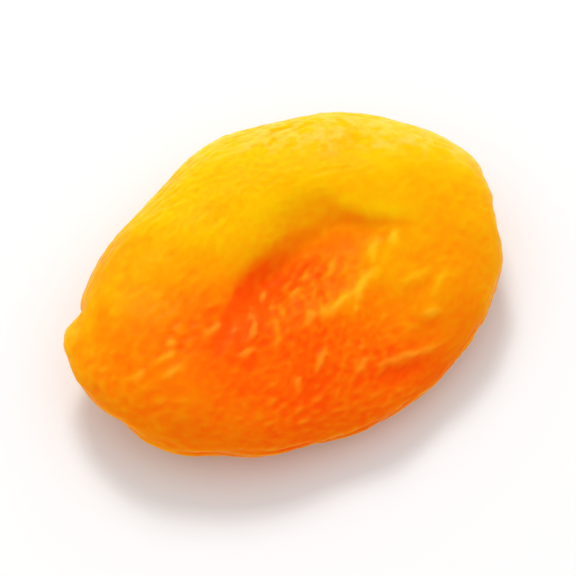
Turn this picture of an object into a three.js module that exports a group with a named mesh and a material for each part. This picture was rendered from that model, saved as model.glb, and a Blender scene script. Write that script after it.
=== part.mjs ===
// A whole apricot, pitted and dried. The fruit has flattened into an oval cushion with a plump rolled
// rim and a hollow in the middle of each face, where the stone used to be. It lies on its underside.
//
// Millimetres. +X runs from the stem end to the tip, along the longest extent, +Y to the plumper side,
// and +Z is up. The origin is on the surface that the fruit lies on, under the middle of its outline.

import * as THREE from "three";
import { mergeVertices } from "three/addons/utils/BufferGeometryUtils.js";

const DEGREE = Math.PI / 180;

const RIM_RADIUS = 19.15; // the mean radius of the outline seen from above

// The outline swells out evenly a few times round the rim, first at an angle from +X.
const RIM_SWELLS = [
  { times: 2, rise: 2.94, at: 2 * DEGREE }, // longer along X and narrower along Y
  { times: 3, rise: 0.44, at: -48 * DEGREE }, // fuller on the near tip side than on the far one
  { times: 4, rise: 0.61, at: 0 }, // the four quarter points stand out
];

// What stands out of the rim or cuts into it.
const RIM_MARKS = [
  { angle: 173 * DEGREE, spread: 9 * DEGREE, rise: 0.8 }, // the stem end's torn lip
  { angle: 167 * DEGREE, spread: 3.6 * DEGREE, rise: 0.65 }, // the lip's corner
  { angle: 160 * DEGREE, spread: 2.4 * DEGREE, rise: -0.65 }, // the notch beside it
  { angle: -12 * DEGREE, spread: 6 * DEGREE, rise: -0.75 }, // the dent beside the tip
  { angle: 5 * DEGREE, spread: 6 * DEGREE, rise: 0.35 }, // the tip
  { angle: 34 * DEGREE, spread: 10 * DEGREE, rise: -0.35 }, // a flatter stretch of the far side
];
const MARK_HEIGHT = 0.32; // how far over the rim they reach, as a share of the half thickness

// The rim's section: a higher power makes a squarer, fuller roll.
const RIM_POWER = 4.2;

// Each face has a half thickness over the rim's middle that leans towards +Y, broad swellings and hollows
// (centre, reach along X and across, and height), and folds. A fold is a valley along a bent line from the
// stem end to the tip end, with a slope on its +Y side, far, and another on its -Y side, near.
const UPPER_FACE = {
  half: 5.6,
  lean: 0.4,
  lumps: [
    { x: -1, y: 9, along: 16, across: 7, rise: 0.7 }, // the plump far side
    { x: 11, y: 4, along: 6.5, across: 6, rise: 0.9 }, // the cushion beside the tip
    { x: -1.5, y: -2, along: 11, across: 7, rise: -1.3 }, // the sunken middle
    { x: 1, y: -15, along: 17, across: 7, rise: -1.6 }, // the thin near side
  ],
  folds: [
    // Where the stone was, the edge of the cushion beside the tip, and the soft slope between them.
    { line: [[-10.3, -4.9], [-2.5, 4], [9.5, 0.2]], depth: 2.1, far: 1.5, near: 3.1 },
    { line: [[5.4, 5.2], [6, -0.6], [13.6, -3.2]], depth: 0.75, far: 0.8, near: 1.9 },
    { line: [[-2, 3.4], [3.6, 4.8], [8.2, 1.6]], depth: 0.7, far: 1.8, near: 1.8 },
  ],
};
const UNDER_FACE = {
  half: 5.6,
  lean: 0.7,
  lumps: [
    { x: 0, y: 0, along: 11, across: 7, rise: -2.2 }, // the sunken middle
    { x: -10, y: -8, along: 8, across: 5, rise: 0.4 },
    { x: 9, y: 7, along: 8, across: 5, rise: 0.3 },
  ],
  folds: [
    // Where the stone was, and a branch towards the tip.
    { line: [[-17, 3.5], [-2, -3.5], [15, 2]], depth: 1.5, far: 2.4, near: 1.8 },
    { line: [[-1, -1], [4, -4], [12, -8]], depth: 0.9, far: 1.6, near: 2.2 },
  ],
};
const FOLD_STEPS = 16; // straight pieces that a fold's line is measured by
const FOLD_FADE = 1.5; // a higher power makes a fold shorter

// The whole cushion is bent a little: its ends curl up, its sides droop, it twists, and its +Y side stands
// higher.
const CURL = 1.0;
const DROOP = 0.4;
const TWIST = 0.5;
const LIFT = 0.7;

const FLAT_DEPTH = 0.3; // how much of the underside is pressed flat by the surface it lies on
const GRID = 20; // faces along each edge of the cube that the skin's grid comes from

const bell = (distance, reach) => Math.exp(-((distance / reach) ** 2));

// The rim's radius at an angle, where the skin has rolled over it by a share from 0 to 1.
function rimRadius(angle, roll) {
  const smooth = RIM_SWELLS.reduce(
    (sum, swell) => sum + swell.rise * Math.cos(swell.times * (angle - swell.at)),
    RIM_RADIUS,
  );
  const marks = RIM_MARKS.reduce((sum, mark) => {
    const apart = Math.atan2(Math.sin(angle - mark.angle), Math.cos(angle - mark.angle));
    return sum + mark.rise * bell(apart, mark.spread);
  }, 0);
  return smooth + marks * bell(roll, MARK_HEIGHT);
}

// The nearest place on a fold's line to a point: how far away it is, how far along the line, from 0 to 1,
// and whether the point is on the line's +Y side.
function nearestOnFold(point, fold) {
  const [from, bend, to] = fold.line.map(([x, y]) => new THREE.Vector2(x, y));
  const stops = new THREE.QuadraticBezierCurve(from, bend, to).getPoints(FOLD_STEPS);
  let nearest = { distance: Infinity };
  for (let i = 0; i < FOLD_STEPS; i++) {
    const step = stops[i + 1].clone().sub(stops[i]);
    const offset = point.clone().sub(stops[i]);
    const share = THREE.MathUtils.clamp(offset.dot(step) / step.lengthSq(), 0, 1);
    const distance = offset.distanceTo(step.clone().multiplyScalar(share));
    if (distance < nearest.distance) {
      nearest = { distance, along: (i + share) / FOLD_STEPS, far: step.cross(offset) > 0 };
    }
  }
  return nearest;
}

// A fold's depth under a point: full in the middle of its line, fading towards both of its ends.
function foldDepth(point, fold) {
  const { distance, along, far } = nearestOnFold(point, fold);
  return fold.depth * Math.sin(Math.PI * along) ** FOLD_FADE * bell(distance, far ? fold.far : fold.near);
}

// The thickness from the rim's middle to one face, away from the rim.
function halfThickness(x, y, face) {
  const swelling = face.lumps.reduce((sum, lump) => {
    const apart = Math.hypot((x - lump.x) / lump.along, (y - lump.y) / lump.across);
    return sum + lump.rise * bell(apart, 1);
  }, 0);
  const point = new THREE.Vector2(x, y);
  const sunk = face.folds.reduce((sum, fold) => sum + foldDepth(point, fold), 0);
  return face.half + face.lean * (y / RIM_RADIUS) + swelling - sunk;
}

// The point of the skin in a given direction from the middle of the fruit.
function skinPoint(direction) {
  const angle = Math.atan2(direction.y, direction.x);
  const out = Math.min(Math.hypot(direction.x, direction.y), 1); // 0 in the middle of a face, 1 at the rim
  const roll = Math.sqrt(1 - out ** RIM_POWER); // 1 in the middle of a face, 0 at the rim
  const radius = out * rimRadius(angle, roll);
  const x = radius * Math.cos(angle);
  const y = radius * Math.sin(angle);
  const [along, across] = [x / RIM_RADIUS, y / RIM_RADIUS];
  const bend = CURL * along ** 2 - DROOP * across ** 2 + TWIST * along * across + LIFT * across;
  const face = direction.z > 0 ? UPPER_FACE : UNDER_FACE;
  return new THREE.Vector3(x, y, Math.sign(direction.z) * roll * halfThickness(x, y, face) + bend);
}

// A cube's grid, spread evenly over a sphere and then moved onto the skin.
function skinGeometry() {
  const cube = new THREE.BoxGeometry(2, 2, 2, GRID, GRID, GRID);
  cube.deleteAttribute("normal");
  cube.deleteAttribute("uv");
  const skin = mergeVertices(cube);
  const points = skin.getAttribute("position");
  for (let i = 0; i < points.count; i++) {
    const direction = new THREE.Vector3().fromBufferAttribute(points, i);
    for (const axis of ["x", "y", "z"]) direction[axis] = Math.tan((direction[axis] * Math.PI) / 4);
    points.setXYZ(i, ...skinPoint(direction.normalize()));
  }
  return skin;
}

// Lowers the skin onto the surface, presses its lowest parts flat and centres its outline on the origin.
function layDown(skin) {
  skin.computeBoundingBox();
  const { min, max } = skin.boundingBox;
  skin.translate(-(min.x + max.x) / 2, -(min.y + max.y) / 2, -min.z - FLAT_DEPTH);
  const points = skin.getAttribute("position");
  for (let i = 0; i < points.count; i++) points.setZ(i, Math.max(points.getZ(i), 0));
  skin.computeVertexNormals();
  return skin;
}

const flesh = new THREE.MeshStandardMaterial({ color: 0xf59a12, roughness: 0.45, metalness: 0 });
const apricot = new THREE.Mesh(layDown(skinGeometry()), flesh);
apricot.name = "dried_apricot";

const group = new THREE.Group();
group.add(apricot);

export default group;
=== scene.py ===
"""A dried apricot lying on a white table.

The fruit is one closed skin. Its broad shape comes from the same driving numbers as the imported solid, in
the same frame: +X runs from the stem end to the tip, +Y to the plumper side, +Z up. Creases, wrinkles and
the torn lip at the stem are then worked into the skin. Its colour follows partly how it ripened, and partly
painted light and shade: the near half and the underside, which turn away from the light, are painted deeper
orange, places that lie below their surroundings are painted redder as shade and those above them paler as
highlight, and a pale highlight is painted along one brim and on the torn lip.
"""

import math

import bmesh
import bpy
import numpy as np
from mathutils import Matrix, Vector


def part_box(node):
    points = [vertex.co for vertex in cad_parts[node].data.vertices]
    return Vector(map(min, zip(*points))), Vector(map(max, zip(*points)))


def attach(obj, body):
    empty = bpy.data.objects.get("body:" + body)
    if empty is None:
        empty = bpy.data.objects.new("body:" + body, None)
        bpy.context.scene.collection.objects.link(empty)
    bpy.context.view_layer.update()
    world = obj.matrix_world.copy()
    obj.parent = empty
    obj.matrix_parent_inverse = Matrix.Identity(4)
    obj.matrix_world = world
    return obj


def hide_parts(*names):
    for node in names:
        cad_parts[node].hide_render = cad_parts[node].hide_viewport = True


MM = 0.001
TINY = 1e-9
SEEDS = {
    "gaps": 6,
    "short wrinkles": 7,
    "fine grain": 8,
    "broad swellings": 9,
    "small swellings": 10,
    "ripening": 11,
    "long wrinkles": 12,
    "patches": 13,
    "bands": 14,
}

# --- the fruit's broad shape, in millimetres ---
#
# A fold, a crease or a crest is given as a line of three points, a depth or rise, and how far it reaches to
# the left of the line and to its right, seen from above. The line is a curve, bent towards its middle point.

RIM_RADIUS = 19.15
RIM_SWELLS = [  # times round the rim, swell, where it peaks in degrees
    (2, 2.94, 2),
    (3, 0.44, -48),
    (4, 0.61, 0),
]
RIM_MARKS = [  # angle in degrees, spread in degrees, rise
    (173, 9, 0.8),  # the torn lip at the stem
    (167, 3.6, 0.65),  # its sharper end
    (160, 2.4, -0.65),  # the notch beside it
    (-12, 6, -0.75),  # a dent below the tip
    (5, 6, 0.35),  # the tip
    (34, 10, -0.35),  # a flatter side
]
MARK_REACH = 0.32  # how far the marks reach from the rim, as a share of the half thickness
RIM_POWER = 4.2  # 2 makes the cross-section an ellipse, and more makes it boxier

STONE_HOLLOW = (((-10.3, -4.9), (-2.5, 4.0), (9.5, 0.2)), 2.1, 1.5, 3.1)
UNDER_HOLLOW = (((-17, 3.5), (-2, -3.5), (15, 2)), 1.5, 2.4, 1.8)
UPPER_FACE = {
    "half": 5.6,  # from the middle of the body to this face
    "lean": 0.4,  # how much more that is at the +Y side
    "lumps": [  # x, y, reach along x, reach along y, rise
        (-1, 9, 16, 7, 0.7),
        (11, 4, 6.5, 6, 0.9),
        (-1.5, -2, 11, 7, -1.3),
        (1, -15, 17, 7, -1.6),
    ],
    "folds": [
        STONE_HOLLOW,
        (((5.4, 5.2), (6.0, -0.6), (13.6, -3.2)), 0.75, 0.8, 1.9),
        (((-2, 3.4), (3.6, 4.8), (8.2, 1.6)), 0.7, 1.8, 1.8),
    ],
}
UNDER_FACE = {
    "half": 5.6,
    "lean": 0.7,
    "lumps": [
        (0, 0, 11, 7, -2.2),
        (-10, -8, 8, 5, 0.4),
        (9, 7, 8, 5, 0.3),
    ],
    "folds": [
        UNDER_HOLLOW,
        (((-1, -1), (4, -4), (12, -8)), 0.9, 1.6, 2.2),
    ],
}
FOLD_STEPS = 16
FOLD_FADE = 1.5  # how early a fold fades towards its ends
CURL, DROOP, TWIST, LIFT = 1.0, 0.4, 0.5, 0.7  # how the whole body bends up or down, at the rim
FLAT_DEPTH = 0.3  # how much of its lowest part is pressed flat

GRID = 128  # faces along each edge of the cube that the skin's grid comes from
EVEN_OUT = 0.12  # moves grid lines from the rim towards the faces, which evens out their spacing


def bell(distance, reach):
    return np.exp(-((distance / reach) ** 2))


def rim_radius(angle, height):
    smooth = RIM_RADIUS
    for times, swell, at in RIM_SWELLS:
        smooth = smooth + swell * np.cos(times * (angle - math.radians(at)))
    marks = 0
    for at, spread, rise in RIM_MARKS:
        apart = np.degrees(np.angle(np.exp(1j * (angle - math.radians(at)))))
        marks = marks + rise * bell(apart, spread)
    return smooth + marks * bell(height, MARK_REACH)


def bent_line(line, steps):
    """Points along a quadratic curve from its first point to its last, bent towards the middle one."""
    start, bend, end = (np.array(p, float) for p in line)
    t = np.linspace(0, 1, steps + 1)[:, None]
    return (1 - t) ** 2 * start + 2 * t * (1 - t) * bend + t**2 * end


def nearest_on(points, line):
    """How far each point is from the line, where along it that is from 0 to 1, and if it is on the left."""
    stops = bent_line(line, FOLD_STEPS)
    best = np.full(len(points), np.inf)
    along = np.zeros(len(points))
    left = np.zeros(len(points), bool)
    for i in range(FOLD_STEPS):
        step = stops[i + 1] - stops[i]
        offset = points - stops[i]
        share = np.clip(offset @ step / (step @ step), 0, 1)
        distance = np.hypot(*(offset - share[:, None] * step).T)
        closer = distance < best
        best[closer] = distance[closer]
        along[closer] = (i + share[closer]) / FOLD_STEPS
        left[closer] = (step[0] * offset[:, 1] - step[1] * offset[:, 0])[closer] > 0
    return best, along, left


def fold_share(points, fold):
    """1 in the middle of a fold, and 0 away from it."""
    line, _, left_reach, right_reach = fold
    distance, along, left = nearest_on(points, line)
    return np.sin(np.pi * along) ** FOLD_FADE * bell(distance, np.where(left, left_reach, right_reach))


def fold_depth(points, fold):
    _, depth, _, _ = fold
    return depth * fold_share(points, fold)


def half_thickness(points, face):
    x, y = points.T
    total = face["half"] + face["lean"] * y / RIM_RADIUS
    for at_x, at_y, reach_x, reach_y, rise in face["lumps"]:
        total = total + rise * bell(np.hypot((x - at_x) / reach_x, (y - at_y) / reach_y), 1)
    for fold in face["folds"]:
        total = total - fold_depth(points, fold)
    return total


def skin_points(directions):
    """Where the skin lies in each direction from the middle of the fruit."""
    angle = np.arctan2(directions[:, 1], directions[:, 0])
    climb = np.arcsin(np.clip(directions[:, 2], -1, 1))
    out = np.cos(climb + EVEN_OUT * np.sin(2 * climb))
    roll = np.sqrt(np.clip(1 - out**RIM_POWER, 0, 1))
    radius = out * rim_radius(angle, roll)
    flat = np.stack([radius * np.cos(angle), radius * np.sin(angle)], axis=1)
    top = directions[:, 2] > 0
    half = np.where(top, half_thickness(flat, UPPER_FACE), -half_thickness(flat, UNDER_FACE))
    along, across = (flat / RIM_RADIUS).T
    bend = CURL * along**2 - DROOP * across**2 + TWIST * along * across + LIFT * across
    return np.column_stack([flat, roll * half + bend])


def set_down(points, low, high):
    """The skin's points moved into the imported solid's place, where its lowest part was pressed flat."""
    middle = (points.min(axis=0) + points.max(axis=0)) / 2
    place = (low + high) / 2
    sink = low[2] - FLAT_DEPTH - points[:, 2].min()
    return points + [place[0] - middle[0], place[1] - middle[1], sink]


# --- the skin's grid, and what works along it ---

MOST_NEIGHBOURS = 8


def cube_grid():
    """A bmesh of a cube whose faces are cut into an even grid."""
    grid = bmesh.new()
    bmesh.ops.create_cube(grid, size=2)
    bmesh.ops.subdivide_edges(grid, edges=grid.edges, cuts=GRID - 1, use_grid_fill=True)
    return grid


def evenly_spread(corners):
    """Directions from a cube's middle to points on it, spread so that the grid's angles are even."""
    turned = np.tan(corners * math.pi / 4)
    return turned / np.linalg.norm(turned, axis=1)[:, None]


def neighbours_of(faces, count):
    """The eight grid points around each point, or the point itself where fewer meet."""
    a, b, c, d = faces.T
    first = np.concatenate([a, b, c, d, a, c, b, d])
    second = np.concatenate([b, c, d, a, c, a, d, b])
    order = np.argsort(first, kind="stable")
    first, second = first[order], second[order]
    starts = np.searchsorted(first, np.arange(count))
    table = np.repeat(np.arange(count)[:, None], MOST_NEIGHBOURS, axis=1)
    table[first, np.arange(len(first)) - starts[first]] = second
    return table


class Skin:
    """The grid's points in millimetres, and the weights that spread a value over it."""

    RATE = 0.008  # square millimetres that one step spreads a value over
    MOST = 0.9  # the most of a point's value that one step may give away

    def __init__(self, faces, points):
        self.faces = faces
        self.around = neighbours_of(faces, len(points))
        self.place(points)

    def place(self, points):
        """Moves the skin to these points, and measures its grid again."""
        self.points = points
        a, b, c, d = (points[self.faces[:, i]] for i in range(4))
        across = np.cross(c - a, d - b)
        normals = np.zeros_like(points)
        for i in range(4):
            for axis in range(3):
                normals[:, axis] += np.bincount(self.faces[:, i], across[:, axis], len(points))
        self.normals = normals / np.linalg.norm(normals, axis=1)[:, None]
        self.steps = points[self.around] - points[:, None]
        self.lengths = np.linalg.norm(self.steps, axis=2)

    def weights(self, grain=None, pull=0.0):
        """How much of each neighbour's value one step takes in. A pull makes it more along the grain."""
        apart = np.where(self.lengths > 0, self.lengths, np.inf)
        share = self.RATE / apart**2
        if grain is not None:
            along = np.einsum("ijk,ik->ij", self.steps, grain) / apart
            share = share * (1 + pull * along**2) / (1 + pull / 2)
        total = share.sum(axis=1, keepdims=True)
        return (share * np.minimum(1, self.MOST / total)).astype(np.float32)

    def spread(self, values, weights, reach):
        """Values smoothed over a reach in millimetres."""
        values = values.astype(np.float32)
        for _ in range(max(1, round(reach**2 / (2 * self.RATE)))):
            values = values + (weights * (values[self.around] - values[:, None])).sum(axis=1)
        return values

    def along_surface(self, directions):
        """Directions laid flat against the skin."""
        flat = directions - (directions * self.normals).sum(axis=1)[:, None] * self.normals
        return flat / np.maximum(np.linalg.norm(flat, axis=1), TINY)[:, None]

    def push(self, rise):
        """Moves the skin outwards by this much."""
        self.place(self.points + rise[:, None] * self.normals)


# --- patterns ---

WAVES = 40
WAVE_VARIETY = (0.7, 1.3)  # how much more slowly or quickly one wave of a noise may go than another
RIDGE_REACH = 0.15  # what a ridge is smoothed over, as a share of the spacing
SURROUNDINGS = 1.75  # how much wider a ridge's surroundings are than that
RIDGE_CONTRAST = 1.6


def smooth_step(start, end, value):
    """0 before start and 1 after end, with a soft change between them. Either may be the larger."""
    share = np.clip((value - start) / (end - start), 0, 1)
    return share * share * (3 - 2 * share)


def soft_noise(points, wavelength, seed):
    """A smooth random value at each point, about -1 to 1, that varies over this many millimetres."""
    draw = np.random.default_rng(seed)
    directions = draw.normal(size=(WAVES, 3))
    directions *= (draw.uniform(*WAVE_VARIETY, WAVES) / np.linalg.norm(directions, axis=1))[:, None]
    phases = draw.uniform(0, 2 * np.pi, WAVES)
    return np.cos(points @ directions.T * (2 * np.pi / wavelength) + phases).sum(axis=1) / math.sqrt(WAVES)


def ridges(skin, grain, pull, spacing, rounds, seed):
    """A pattern of ridges and furrows that grows out of noise and runs along the grain. Its spread is 1.

    Each round keeps what differs from its surroundings, which lets neighbouring ridges settle this far apart.
    """
    near_reach = spacing * RIDGE_REACH
    wide_reach = near_reach * SURROUNDINGS
    along = skin.weights(grain, pull)
    evenly = skin.weights()
    height = np.random.default_rng(seed).normal(size=len(skin.points))
    for _ in range(rounds):
        near = skin.spread(np.tanh(RIDGE_CONTRAST * height), along, near_reach)
        height = near - skin.spread(near, evenly, wide_reach)
        height = height / height.std()
    return height


# --- swellings ---

BROAD_SWELLING, BROAD_WAVELENGTH = 0.16, 10
SMALL_SWELLING, SMALL_WAVELENGTH = 0.06, 5
BAND_HEIGHT, BAND_WAVELENGTH = 0.15, 4.5  # bands that run lengthways along the flanks and under the fruit
BAND_TILT = (0.5, -0.1)  # the upward part of the normal where the bands begin, and where they are fullest
BAND_STRETCH = (0.4, 1, 1)


def work_in_swellings(skin):
    broad = soft_noise(skin.points, BROAD_WAVELENGTH, SEEDS["broad swellings"])
    small = soft_noise(skin.points, SMALL_WAVELENGTH, SEEDS["small swellings"])
    skin.push(BROAD_SWELLING * broad + SMALL_SWELLING * small)
    down = smooth_step(*BAND_TILT, skin.normals[:, 2])
    skin.push(BAND_HEIGHT * down * soft_noise(skin.points * BAND_STRETCH, BAND_WAVELENGTH, SEEDS["bands"]))


# --- creases and crests, in millimetres ---

UPPER_CREASES = [  # beside the tip, along the near edge and behind the torn lip
    (((7.0, -8.6), (10.1, -8.9), (13.5, -8.8)), 0.14, 0.6, 1.0),
    (((7.0, -11.8), (9.2, -12.1), (11.5, -12.2)), 0.14, 0.5, 0.8),
    (((0.0, -14.1), (4.5, -15.0), (9.5, -14.9)), 0.35, 1.0, 1.3),
    (((-17.0, 7.2), (-18.0, 3.6), (-20.6, 1.0)), 0.22, 1.0, 1.0),
]
UPPER_CRESTS = [
    # the long crest along the hollow, and those that cross it
    (((10.7, -3.1), (1.3, -8.2), (-3.7, -6.1)), 0.22, 1.2, 1.2),
    (((10.9, -2.3), (10.3, -3.2), (9.7, -4.4)), 0.27, 0.5, 0.5),
    (((9.0, -2.0), (8.0, -3.0), (6.7, -4.4)), 0.25, 0.8, 0.8),
    (((7.8, -5.3), (4.3, -5.1), (2.1, -8.8)), 0.28, 0.52, 0.56),
    # on the hollow's floor and its near slope
    (((-3.5, -3.3), (-6.4, -4.4), (-10.4, -5.0)), 0.22, 1.5, 1.5),
    (((4.1, -5.8), (2.2, -6.1), (0.1, -7.3)), 0.29, 0.4, 0.4),
    (((1.1, -5.4), (0.5, -6.3), (-0.5, -7.2)), 0.25, 0.4, 0.4),
    (((0.0, -4.6), (-0.9, -6.2), (-2.3, -7.5)), 0.27, 0.55, 0.55),
    (((0.3, -2.9), (-0.8, -3.1), (-2.0, -3.5)), 0.16, 0.4, 0.4),
    (((-2.7, -2.9), (-2.8, -4.6), (-3.7, -5.9)), 0.22, 0.4, 0.4),
    (((-3.8, -4.1), (-4.3, -6.0), (-5.5, -7.8)), 0.22, 0.4, 0.4),
    (((-4.6, -1.4), (-5.4, -2.3), (-6.3, -3.4)), 0.18, 0.4, 0.4),
    (((-5.4, -3.4), (-6.2, -4.5), (-7.3, -5.6)), 0.25, 0.4, 0.4),
    (((-2.4, -0.1), (-3.3, -1.1), (-4.4, -2.8)), 0.22, 0.42, 0.42),
    (((-2.2, -1.7), (-3.3, -2.8), (-4.6, -4.4)), 0.2, 0.4, 0.4),
    (((-6.8, -2.3), (-7.9, -3.5), (-9.1, -4.7)), 0.22, 0.42, 0.42),
    (((0.6, -0.6), (-0.6, -1.6), (-1.9, -2.8)), 0.18, 0.4, 0.4),
    (((2.2, -0.7), (1.2, -1.7), (0.1, -2.7)), 0.18, 0.4, 0.4),
    (((4.4, -1.9), (3.6, -2.7), (2.7, -3.7)), 0.16, 0.4, 0.4),
    (((-8.4, -1.9), (-9.7, -3.0), (-11.6, -3.4)), 0.27, 0.4, 0.4),
    (((-6.8, -6.3), (-8.0, -6.3), (-9.7, -6.9)), 0.2, 0.4, 0.4),
    # towards the near edge and the tip
    (((-0.9, -9.6), (-2.2, -10.1), (-3.9, -11.2)), 0.34, 0.4, 0.4),
    (((2.1, -12.0), (1.1, -12.3), (-0.2, -12.9)), 0.25, 0.4, 0.4),
    (((-4.6, -10.7), (-5.5, -11.0), (-6.4, -11.5)), 0.22, 0.4, 0.4),
    (((10.4, -13.9), (5.5, -13.9), (0.9, -12.9)), 0.25, 0.4, 0.4),
    (((13.1, -8.1), (11.9, -9.4), (10.0, -10.1)), 0.18, 0.4, 0.4),
    (((8.2, -7.5), (10.0, -7.4), (12.0, -7.8)), 0.13, 0.4, 0.4),
    (((8.3, -10.9), (9.6, -11.3), (11.1, -11.2)), 0.2, 0.4, 0.4),
    # towards the stem
    (((-13.7, -5.0), (-15.6, -5.0), (-17.7, -4.5)), 0.27, 0.4, 0.4),
    (((-13.6, -3.3), (-15.2, -3.5), (-16.8, -3.1)), 0.22, 0.4, 0.4),
    (((-13.3, -2.2), (-14.2, -2.2), (-15.0, -1.9)), 0.18, 0.4, 0.4),
    (((-17.6, -3.0), (-18.4, -3.6), (-19.3, -4.0)), 0.22, 0.4, 0.4),
]
CREASED_TILT = (0.0, 0.35)  # the upward part of the normal where they begin, and where they are fullest

# Grooves elsewhere, and one ridge: a line near the skin, a depth or rise, and its reach to either side.
GROOVES = [
    (((-19.6, 7.0, 7.6), (-20.8, 7.2, 5.2), (-19.2, 7.6, 2.6)), 0.55, 0.6),  # beside the torn lip
    (((-21.4, 5.8, 6.6), (-23.2, 2.0, 5.4), (-22.2, -1.6, 4.4)), 0.4, 0.7),  # where it closed over the stem
    (((-17.5, 10.5, 5.0), (0.0, 24.5, 4.0), (18.5, 9.5, 6.0)), 0.4, 0.8),  # the seam, round the plumper side
    (((19.5, 6.0, 5.8), (23.5, 0.0, 5.6), (20.0, -6.0, 4.6)), 0.25, 0.7),  # round the tip
    (((-10.0, 14.2, 3.2), (-2.0, 18.0, 1.6), (6.0, 15.5, 2.4)), 0.25, 0.9),
    (((-14.0, -10.5, 4.0), (-4.0, -16.8, 2.2), (7.0, -15.0, 3.0)), 0.25, 0.9),
]
LIP_EDGE = (((-19.8, 7.0, 7.4), (-21.4, 6.5, 7.0), (-22.5, 3.2, 6.8)), 0.4, 0.8)
GROOVE_STEPS = 60


def groove(skin, crease):
    """The depth of a crease whose line is first laid on the skin."""
    line, depth, reach = crease
    stops = bent_line(line, GROOVE_STEPS)
    laid = np.array([skin.points[np.argmin(((skin.points - stop) ** 2).sum(axis=1))] for stop in stops])
    best = np.full(len(skin.points), np.inf)
    fade = np.zeros(len(skin.points))
    for i, place in enumerate(laid):
        distance = np.linalg.norm(skin.points - place, axis=1)
        closer = distance < best
        best[closer] = distance[closer]
        fade[closer] = math.sin(math.pi * i / GROOVE_STEPS)
    return depth * np.sqrt(fade) * bell(best, reach)


def work_in_creases(skin):
    up = smooth_step(*CREASED_TILT, skin.normals[:, 2])
    flat = skin.points[:, :2]
    rise = sum(fold_depth(flat, crest) for crest in UPPER_CRESTS)
    fall = sum(fold_depth(flat, crease) for crease in UPPER_CREASES)
    skin.push((rise - fall) * up)
    skin.push(-sum(groove(skin, crease) for crease in GROOVES))
    skin.push(groove(skin, LIP_EDGE))


# --- wrinkles, in millimetres ---

WRINKLED_TILT = (-0.25, 0.45)  # the upward part of the normal where long wrinkles give way to short ones
WRINKLE_PULL = 9.0  # how strongly a wrinkle is drawn out along the grain

# How crinkled the upper face is in its parts, and where they begin and are fully reached.
CALM_CRINKLES = 0.2
NEAR_CRINKLES, NEAR_HALF = 0.8, (2.5, -1.5)  # y
BRIM_CRINKLES, BRIM = 0.5, (7, 13)  # y
TIP_CALM, TOWARDS_TIP = 0.8, (1, 9)  # the share that the near half loses, and x
STEM_CALM, TOWARDS_STEM = 0.4, (-8, -14)  # the same

# The short wrinkles of the upper face, which thin out in places.
SHORT_HEIGHT = 0.22
SHORT_SPACING = 1.55
SHORT_ROUNDS = 3
SHORT_THRESHOLD = 0.55  # only what rises above this makes a wrinkle
SHORT_SOFTNESS = 0.24
THINNEST = 0.4
GAP_RANGE, GAP_WAVELENGTH = (-0.6, 1.2), 4.5

# The long wrinkles of the flanks and the underside, which are deeper in some patches than in others.
LONG_HEIGHT = 0.14
LONG_SPACING = 2.2
LONG_ROUNDS = 4
PATCH_MEAN, PATCH_SWING = 0.7, 0.5
PATCH_RANGE, PATCH_WAVELENGTH = (0.15, 1.3), 8

# The fine grain, which is a little deeper where the skin is crinkled.
FINE_HEIGHT, FINE_CRINKLED = 0.013, 0.014
FINE_SPACING = 1.5
FINE_PULL = 3.0

# Which way the wrinkles run.
GRAIN_TILT = (-0.2, 0.4)
SLANT = math.radians(48)  # across the near half of the upper face
SLANT_AT, SLANT_REACH = (1, -4), (12, 11)  # x and y
BRIM_SIDE = (1, 7)  # y
BRIM_OVAL = 0.55  # how long the brim's curve is that they follow: 1 is a circle, and less is a longer oval
LEAST_OUT = 1
UPPER_TURN, FLANK_TURN = 6, 15  # degrees clockwise from lengthways
FLANK_CLIMB = 0.4


def grain_of(skin):
    """Which way the wrinkles run.

    They slant across the near half of the upper face, go round the brim of the far half, and run lengthways
    along the flanks.
    """
    x, y, _ = skin.points.T
    up = smooth_step(*GRAIN_TILT, skin.normals[:, 2])
    share_x = bell((x - SLANT_AT[0]) / SLANT_REACH[0], 1)
    share_y = bell((y - SLANT_AT[1]) / SLANT_REACH[1], 1)
    slanting = SLANT * share_x * share_y
    round_brim = np.arctan2(-BRIM_OVAL * x, np.maximum(y, LEAST_OUT)) * smooth_step(*BRIM_SIDE, y)
    angle = up * (slanting + round_brim) - np.radians(up * UPPER_TURN + (1 - up) * FLANK_TURN)
    return skin.along_surface(np.column_stack([np.cos(angle), np.sin(angle), FLANK_CLIMB * (1 - up)]))


def crinkling(points):
    """How crinkled the upper face is: most on the near half, and more on the far brim than elsewhere."""
    x, y, _ = points.T
    near_half = smooth_step(*NEAR_HALF, y)
    near_half = near_half * (1 - TIP_CALM * smooth_step(*TOWARDS_TIP, x))
    near_half = near_half * (1 - STEM_CALM * smooth_step(*TOWARDS_STEM, x))
    return CALM_CRINKLES + NEAR_CRINKLES * near_half + BRIM_CRINKLES * smooth_step(*BRIM, y)


def work_in_short_wrinkles(skin, grain, crinkled):
    gaps = soft_noise(skin.points, GAP_WAVELENGTH, SEEDS["gaps"])
    broken = THINNEST + (1 - THINNEST) * smooth_step(*GAP_RANGE, gaps)
    pattern = ridges(skin, grain, WRINKLE_PULL, SHORT_SPACING, SHORT_ROUNDS, SEEDS["short wrinkles"])
    crests = np.clip(pattern - SHORT_THRESHOLD, 0, None)
    skin.push(SHORT_HEIGHT * crinkled * broken * skin.spread(crests, skin.weights(), SHORT_SOFTNESS))


def work_in_long_wrinkles(skin, grain, down):
    pattern = np.tanh(ridges(skin, grain, WRINKLE_PULL, LONG_SPACING, LONG_ROUNDS, SEEDS["long wrinkles"]))
    patches = soft_noise(skin.points, PATCH_WAVELENGTH, SEEDS["patches"])
    patchy = np.clip(PATCH_MEAN + PATCH_SWING * patches, *PATCH_RANGE)
    skin.push(LONG_HEIGHT * down * patchy * pattern)


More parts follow.
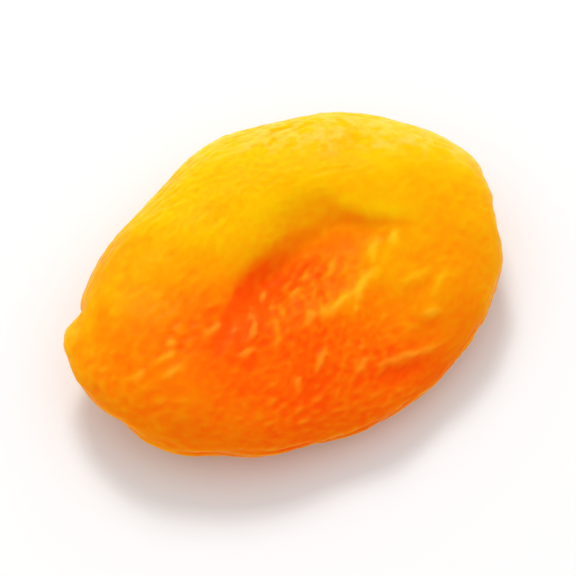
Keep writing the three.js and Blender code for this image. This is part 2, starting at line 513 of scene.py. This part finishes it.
def work_in_wrinkles(skin):
    up = smooth_step(*WRINKLED_TILT, skin.normals[:, 2])
    crinkled = up * crinkling(skin.points)
    grain = grain_of(skin)
    work_in_short_wrinkles(skin, grain, crinkled)
    work_in_long_wrinkles(skin, grain, 1 - up)
    fine = ridges(skin, grain, FINE_PULL, FINE_SPACING, 1, SEEDS["fine grain"])
    skin.push((FINE_HEIGHT + FINE_CRINKLED * crinkled) * fine)


# --- what the colour follows ---

HOLLOW_REACH = 0.8
FURROW_SPAN = 0.3  # millimetres from the palest crests, at 0, to the furrows at 1, for the painted shade in furrows and the paler crests
MOST_RAISED, MOST_SUNKEN = 0.15, 0.07  # how far the broad shape may count as a crest or a furrow
DEEPEST_FURROW = 1.2
# how high a wrinkle's crest stands where its painted highlight is full, and how sharply that highlight rises
HIGHEST_CREST, CREST_SHARPNESS = 0.18, 1.5

# Painted shade, redder, in the stone's hollow, on its steep wall and on its floor, and a painted highlight,
# paler, on the long crest: a line, an amount, and its reach to the left and to the right.
HOLLOW_SHADE = 0.02
STEEP_WALL_SHADE = (((-9.5, -4.5), (-4.9, 2.2), (1.8, 1.6)), 0.22, 0.7, 1.1)
FLOOR_SHADE = (((0.5, -1.5), (-6.0, -3.2), (-16.0, -7.0)), 0.12, 1.5, 1.5)
LONG_CREST_HIGHLIGHT = (((11.5, -2.5), (2.5, -8.6), (-4.0, -5.8)), 0.15, 1.2, 1.8)

# How ripe or how golden each part is painted, and over which millimetres that fades in. It is partly the
# fruit's own colour and partly painted shade: the near half and the underside, which turn away from the
# light, are painted deeper orange.
RIPE_AND_SHADED_FACE, GOLDEN_FACE = 0.92, 0.16
FAR_LOBE = (-2.5, 6)  # y
TIP_END, TIP_GOLD = (-1.5, 9), 0.87  # x
TIP_SLANT, TIP_AT = 0.45, -6  # it lies further out where y is larger than this
TIP_SIDE = (-26, 4)  # y
NEAR_EDGE, NEAR_SLANT = (-6, -14), 0.45  # y, and further out where x is larger
STEM_END, STEM_GOLD = (-8, -17), 0.22  # x
LOBE_END, LOBE_END_ORANGE = (-4, -19), 0.37  # x
TIP_RIM, TIP_RIM_ORANGE = (17, 21), 0.06  # x
UNDER_RIPE_AND_SHADED, UNDER_SLOPE = 0.58, 0.006
UPPER_TILT = (-0.5, 0.3)  # the upward part of the normal where the underside's colour, deeper orange partly as painted shade, gives way
FAR_SIDE, FAR_TILT = (0, 15), 0.3  # y, and how much later it gives way there
RIPE_PATCHES, RIPE_WAVELENGTH = 0.04, 7

HIGHLIGHT_SIDE = math.radians(59)  # the side that has the painted pale highlight, a painted reflection along its brim, from +X towards +Y
HIGHLIGHT_BRIM = (10, 13.5)  # how far out that way it begins, and is fullest
HIGHLIGHT_END = (-13, -4)  # the same along the brim
HIGHLIGHT_TILT = (-0.3, 0.3)
# a painted pale highlight on the torn lip: where it lies, how strong it is, and how far it reaches
TORN_LIP = (-21.0, 5.6, 7.0)
LIP_HIGHLIGHT, LIP_REACH = 0.6, 1.3


def hollowness(skin):
    """How far each point lies below its surroundings, in millimetres."""
    weights = skin.weights()
    around = np.column_stack([skin.spread(skin.points[:, axis], weights, HOLLOW_REACH) for axis in range(3)])
    return ((around - skin.points) * skin.normals).sum(axis=1)


def furrow_shading(broad_hollows, wrinkles):
    """0 on the palest crests, 0.5 where the skin is level, and more in its furrows. The material paints the
    furrows deeper orange from it, as painted shade, and the crests paler, as a painted highlight.
    """
    level = np.clip(broad_hollows, -MOST_RAISED, MOST_SUNKEN)
    return np.clip(0.5 + (level + wrinkles) / FURROW_SPAN, 0, DEEPEST_FURROW)


def hollow_shade_and_crest_highlight(skin):
    """How much redder the flesh is painted in the stone's hollow, as painted shade, and how much paler on the
    long crest, as a painted highlight.
    """
    flat = skin.points[:, :2]
    upper = HOLLOW_SHADE * fold_share(flat, STONE_HOLLOW)
    upper = upper + fold_depth(flat, STEEP_WALL_SHADE) + fold_depth(flat, FLOOR_SHADE)
    upper = upper - fold_depth(flat, LONG_CREST_HIGHLIGHT)
    under = HOLLOW_SHADE * fold_share(flat, UNDER_HOLLOW)
    return np.where(skin.normals[:, 2] > 0, upper, under)


def ripeness_and_shade(points, normals):
    """0 where the fruit is golden and 1 where it is deep orange: partly how it ripened, and partly painted
    shade on the near half and the underside, which turn away from the light.
    """
    x, y, _ = points.T
    far_lobe = smooth_step(*FAR_LOBE, y)
    near_edge = smooth_step(*NEAR_EDGE, y + NEAR_SLANT * x)
    tip = smooth_step(*TIP_END, x - TIP_SLANT * (y - TIP_AT)) * smooth_step(*TIP_SIDE, y) * (1 - near_edge)
    stem = smooth_step(*STEM_END, x)
    golden = 1 - (1 - far_lobe) * (1 - TIP_GOLD * tip) * (1 - STEM_GOLD * stem)
    upper = RIPE_AND_SHADED_FACE - (RIPE_AND_SHADED_FACE - GOLDEN_FACE) * golden
    upper = upper + LOBE_END_ORANGE * far_lobe * smooth_step(*LOBE_END, x)
    upper = upper + TIP_RIM_ORANGE * smooth_step(*TIP_RIM, x)
    under = UNDER_RIPE_AND_SHADED - UNDER_SLOPE * y
    up = smooth_step(*UPPER_TILT, normals[:, 2] - FAR_TILT * smooth_step(*FAR_SIDE, y))
    patches = RIPE_PATCHES * soft_noise(points, RIPE_WAVELENGTH, SEEDS["ripening"])
    return upper * up + under * (1 - up) + patches


def painted_highlight(points, normals):
    """How much painted highlight lies on the skin: a pale painted reflection along one side's brim, and a
    pale highlight on the torn lip.
    """
    cos, sin = math.cos(HIGHLIGHT_SIDE), math.sin(HIGHLIGHT_SIDE)
    x, y, _ = points.T
    out = cos * x + sin * y
    along = sin * x - cos * y
    brim = smooth_step(*HIGHLIGHT_BRIM, out) * smooth_step(*HIGHLIGHT_END, along)
    lip = LIP_HIGHLIGHT * bell(np.linalg.norm(points - TORN_LIP, axis=1), LIP_REACH)
    return np.clip(brim * smooth_step(*HIGHLIGHT_TILT, normals[:, 2]) + lip, 0, 1)


# --- the flesh's material ---


class Nodes:
    """A material's node tree, and short ways to add to it."""

    def __init__(self, name):
        self.material = bpy.data.materials.new(name)
        self.material.use_nodes = True
        self.tree = self.material.node_tree
        self.shader = self.tree.nodes["Principled BSDF"]

    def add(self, kind, **settings):
        node = self.tree.nodes.new(kind)
        for name, value in settings.items():
            setattr(node, name, value)
        return node

    def join(self, source, target):
        self.tree.links.new(source, target)

    def set_shader(self, **settings):
        """Sets the shader's own sockets, whose names have their spaces given as underscores."""
        for name, value in settings.items():
            self.shader.inputs[name.replace("_", " ")].default_value = value

    def value(self, name):
        return self.add("ShaderNodeAttribute", attribute_name=name).outputs["Fac"]

    def math(self, operation, first, second):
        node = self.add("ShaderNodeMath", operation=operation)
        for socket, given in zip(node.inputs, (first, second)):
            if isinstance(given, (int, float)):
                socket.default_value = given
            else:
                self.join(given, socket)
        return node.outputs["Value"]

    def swing(self, value, weight):
        """A value from 0 to 1 turned into half the weight below nothing, to half above it."""
        return self.math("MULTIPLY", self.math("SUBTRACT", value, 0.5), weight)

    def noise(self, scale, detail, roughness, distortion=0.0):
        """A noise whose scale is in cells a metre."""
        node = self.add("ShaderNodeTexNoise")
        node.inputs["Scale"].default_value = scale
        node.inputs["Detail"].default_value = detail
        node.inputs["Roughness"].default_value = roughness
        node.inputs["Distortion"].default_value = distortion
        self.join(self.add("ShaderNodeTexCoord").outputs["Object"], node.inputs["Vector"])
        return node.outputs["Fac"]

    def between(self, value, low, high):
        """0 up to low and 1 from high, with a straight rise between them."""
        node = self.add("ShaderNodeMapRange")
        node.inputs["From Min"].default_value = low
        node.inputs["From Max"].default_value = high
        self.join(value, node.inputs["Value"])
        return node.outputs["Result"]

    def blend(self, share, first, second):
        """The first colour, given way to the second by this share."""
        node = self.add("ShaderNodeMixRGB")
        node.inputs["Color2"].default_value = (*second, 1)
        self.join(share, node.inputs["Fac"])
        self.join(first, node.inputs["Color1"])
        return node.outputs["Color"]

    def ramp(self, factor, stops):
        node = self.add("ShaderNodeValToRGB")
        elements = node.color_ramp.elements
        while len(elements) < len(stops):
            elements.new(0.5)
        for element, (place, colour) in zip(elements, stops):
            element.position = place
            element.color = (*colour, 1)
        self.join(factor, node.inputs["Fac"])
        return node.outputs["Color"]

    def bump(self, height, strength, distance):
        node = self.add("ShaderNodeBump")
        node.inputs["Strength"].default_value = strength
        node.inputs["Distance"].default_value = distance
        self.join(height, node.inputs["Height"])
        self.join(node.outputs["Normal"], self.shader.inputs["Normal"])


# the first colour, pale gold, is that of the painted highlights along one brim, on the torn lip and on the
# sharpest crests
HIGHLIGHT_GOLD = (0.84, 0.54, 0.07)
GOLD = (0.84, 0.495, 0.001)
AMBER = (0.86, 0.34, 0.001)
ORANGE = (0.88, 0.205, 0.001)
RED_ORANGE = (0.9, 0.092, 0.001)
# the colour scale along which the fruit's own ripening and the painted shade move it
RIPENING_AND_SHADE_RAMP = [(0.05, GOLD), (0.38, AMBER), (0.68, ORANGE), (1.0, RED_ORANGE)]
FURROW_SHADE_WEIGHT, MOTTLE_WEIGHT = 0.44, 0.28  # how far the painted shade in furrows, with the paler crests, and the random mottling move the colour towards orange or gold
CREST_HIGHLIGHT = 0.14  # how far the sharpest crests are painted pale gold, as a painted highlight
NOISE_DETAIL, NOISE_ROUGHNESS = 3, 0.6
MOTTLE_SCALE, SPECKLE_SCALE, PORE_SCALE = 700, 650, 2200  # cells a metre
SPECKLE_RANGE = (0.42, 0.68)
PORE_DISTORTION, PORE_STRENGTH, PORE_DEPTH = 0.4, 0.5, 0.00006


def dried_flesh():
    nodes = Nodes("dried_flesh")
    # painted shade: furrows deeper orange and crests paler, from how far each place lies below its
    # surroundings
    furrow_shade = nodes.swing(nodes.value("furrow_shade"), FURROW_SHADE_WEIGHT)
    mottle = nodes.swing(nodes.noise(MOTTLE_SCALE, NOISE_DETAIL, NOISE_ROUGHNESS), MOTTLE_WEIGHT)
    # adds the painted shade of the hollow, the painted shade in furrows and the random mottling
    shade_and_mottle = nodes.math("ADD", nodes.value("hollow_shade_and_crest_highlight"), nodes.math("ADD", furrow_shade, mottle))
    # partly the fruit's own colour, and partly painted shade on the near half and the underside
    flesh = nodes.ramp(nodes.math("ADD", nodes.value("ripeness_and_shade"), shade_and_mottle), RIPENING_AND_SHADE_RAMP)

    # painted highlight: pale gold, broken into flecks, along one brim and on the torn lip, and on the
    # sharpest crests
    speckle = nodes.between(nodes.noise(SPECKLE_SCALE, NOISE_DETAIL, NOISE_ROUGHNESS), *SPECKLE_RANGE)
    speckled_highlight = nodes.math("MULTIPLY", nodes.value("painted_highlight"), speckle)
    crests = nodes.math("MULTIPLY", nodes.value("crest"), CREST_HIGHLIGHT)
    pale = nodes.math("MAXIMUM", speckled_highlight, crests)
    nodes.join(nodes.blend(pale, flesh, HIGHLIGHT_GOLD), nodes.shader.inputs["Base Color"])

    pores = nodes.noise(PORE_SCALE, NOISE_DETAIL, NOISE_ROUGHNESS, PORE_DISTORTION)
    nodes.bump(pores, PORE_STRENGTH, PORE_DEPTH)
    nodes.set_shader(
        Roughness=0.3,
        Subsurface_Weight=1.0,
        Subsurface_Radius=(1.0, 0.1, 0.04),
        Subsurface_Scale=2 * MM,
        Specular_IOR_Level=0.024,
        Specular_Tint=(1.0, 0.75, 0.35, 1),
        Sheen_Weight=0.15,
        Sheen_Roughness=0.3,
        Sheen_Tint=(1.0, 0.7, 0.3, 1),
    )
    return nodes.material


# --- the fruit ---


def keep_value(mesh, name, values):
    """Stores one number for each point, for the material to read."""
    mesh.attributes.new(name, "FLOAT", "POINT").data.foreach_set("value", values.astype(np.float32))


def smooth_mesh(grid, points):
    """The grid made into a smooth mesh, with its points moved to these places in metres."""
    for point, place in zip(grid.verts, points):
        point.co = place
    for face in grid.faces:
        face.smooth = True
    mesh = bpy.data.meshes.new("dried_apricot")
    grid.to_mesh(mesh)
    grid.free()
    return mesh


def shaped_skin(grid, low, high):
    """The fruit's skin, and how deep its points lie in its broad shape and in its creases and wrinkles."""
    faces = np.array([[corner.index for corner in face.verts] for face in grid.faces])
    directions = evenly_spread(np.array([point.co[:] for point in grid.verts]))
    skin = Skin(faces, set_down(skin_points(directions), low, high))
    work_in_swellings(skin)
    broad_hollows = hollowness(skin)
    work_in_creases(skin)
    work_in_wrinkles(skin)
    return skin, broad_hollows, hollowness(skin) - broad_hollows


def fruit():
    low, high = (np.array(corner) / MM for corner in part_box("dried_apricot"))
    grid = cube_grid()
    skin, broad_hollows, wrinkles = shaped_skin(grid, low, high)
    pressed = skin.points.copy()
    pressed[:, 2] = np.maximum(pressed[:, 2], low[2])
    mesh = smooth_mesh(grid, pressed * MM)
    # painted shade in furrows and paler crests, from how far each place lies below its surroundings
    keep_value(mesh, "furrow_shade", furrow_shading(broad_hollows, wrinkles))
    # painted highlight on the sharpest crests
    keep_value(mesh, "crest", np.clip(-wrinkles / HIGHEST_CREST, 0, 1) ** CREST_SHARPNESS)
    # painted shade in the stone's hollow, and a painted highlight on the long crest
    keep_value(mesh, "hollow_shade_and_crest_highlight", hollow_shade_and_crest_highlight(skin))
    # partly the fruit's own colour, and partly painted shade on the near half and the underside
    keep_value(mesh, "ripeness_and_shade", ripeness_and_shade(skin.points, skin.normals))
    # painted highlight: a pale reflection along one brim, and a pale highlight on the torn lip
    keep_value(mesh, "painted_highlight", painted_highlight(skin.points, skin.normals))
    mesh.materials.append(dried_flesh())

    piece = bpy.data.objects.new("apricot_skin", mesh)
    bpy.context.scene.collection.objects.link(piece)
    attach(piece, "root")
    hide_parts("dried_apricot")


# --- the table, the light and the camera ---

VIEW_AZIMUTH = math.radians(-31)
VIEW_ELEVATION = math.radians(62)
FRAME_WIDTH = 56.5 * MM  # how wide the picture is, at the fruit
LENS, SENSOR = 200, 36
NEAREST = 10 * MM  # the camera sees nothing nearer than this
LOOK_AT = Vector((-0.26, -0.81, 5.93)) * MM

SIDEWAYS = Vector((math.cos(VIEW_AZIMUTH), math.sin(VIEW_AZIMUTH), 0))
AWAY = Vector((-math.sin(VIEW_AZIMUTH), math.cos(VIEW_AZIMUTH), 0))  # along the table, away from the camera
UP = Vector((0, 0, 1))

LAMP_PLACE = AWAY * 0.37 + UP * 0.47 - SIDEWAYS * 0.08  # metres
KEY_SIZE, KEY_POWER = 0.2, 1.5  # metres and watts
GLINT_SIZE, GLINT_POWER = 0.05, 0.2
SKY_STRENGTH = 0.9

TABLE_REACH = 1.5  # metres from its middle to each edge
TABLE_WHITE = (0.8, 0.8, 0.8, 1)
TABLE_ROUGHNESS = 0.6


def aim(thing, target):
    thing.rotation_euler = (target - thing.location).to_track_quat("-Z", "Y").to_euler()


def camera():
    data = bpy.data.cameras.new("camera")
    data.lens, data.sensor_width = LENS, SENSOR
    data.clip_start = NEAREST
    eye = bpy.data.objects.new("camera", data)
    back = UP * math.sin(VIEW_ELEVATION) - AWAY * math.cos(VIEW_ELEVATION)
    eye.location = LOOK_AT + back * FRAME_WIDTH * LENS / SENSOR
    aim(eye, LOOK_AT)
    bpy.context.scene.collection.objects.link(eye)
    bpy.context.scene.camera = eye


def soft_light(name, place, size, power):
    data = bpy.data.lights.new(name, "AREA")
    data.energy, data.size = power, size
    lamp = bpy.data.objects.new(name, data)
    lamp.location = place
    aim(lamp, LOOK_AT)
    bpy.context.scene.collection.objects.link(lamp)


def light():
    world = bpy.data.worlds.new("studio")
    world.use_nodes = True
    background = world.node_tree.nodes["Background"]
    background.inputs["Color"].default_value = (1, 1, 1, 1)
    background.inputs["Strength"].default_value = SKY_STRENGTH
    bpy.context.scene.world = world
    soft_light("key", LAMP_PLACE, KEY_SIZE, KEY_POWER)
    soft_light("glint", LAMP_PLACE, GLINT_SIZE, GLINT_POWER)
    bpy.context.scene.view_settings.view_transform = "Standard"


def table():
    grid = bmesh.new()
    bmesh.ops.create_grid(grid, size=TABLE_REACH)
    mesh = bpy.data.meshes.new("table")
    grid.to_mesh(mesh)
    grid.free()
    white = Nodes("white_table")
    white.set_shader(Base_Color=TABLE_WHITE, Roughness=TABLE_ROUGHNESS)
    mesh.materials.append(white.material)
    top = bpy.data.objects.new("table", mesh)
    bpy.context.scene.collection.objects.link(top)


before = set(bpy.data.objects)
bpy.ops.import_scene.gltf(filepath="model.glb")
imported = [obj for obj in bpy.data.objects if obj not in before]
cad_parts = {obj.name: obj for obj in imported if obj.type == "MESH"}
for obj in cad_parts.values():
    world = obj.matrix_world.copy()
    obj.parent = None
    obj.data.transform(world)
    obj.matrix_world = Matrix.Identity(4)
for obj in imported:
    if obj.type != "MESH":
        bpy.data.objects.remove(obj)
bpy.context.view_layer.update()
camera()
light()
table()
fruit()
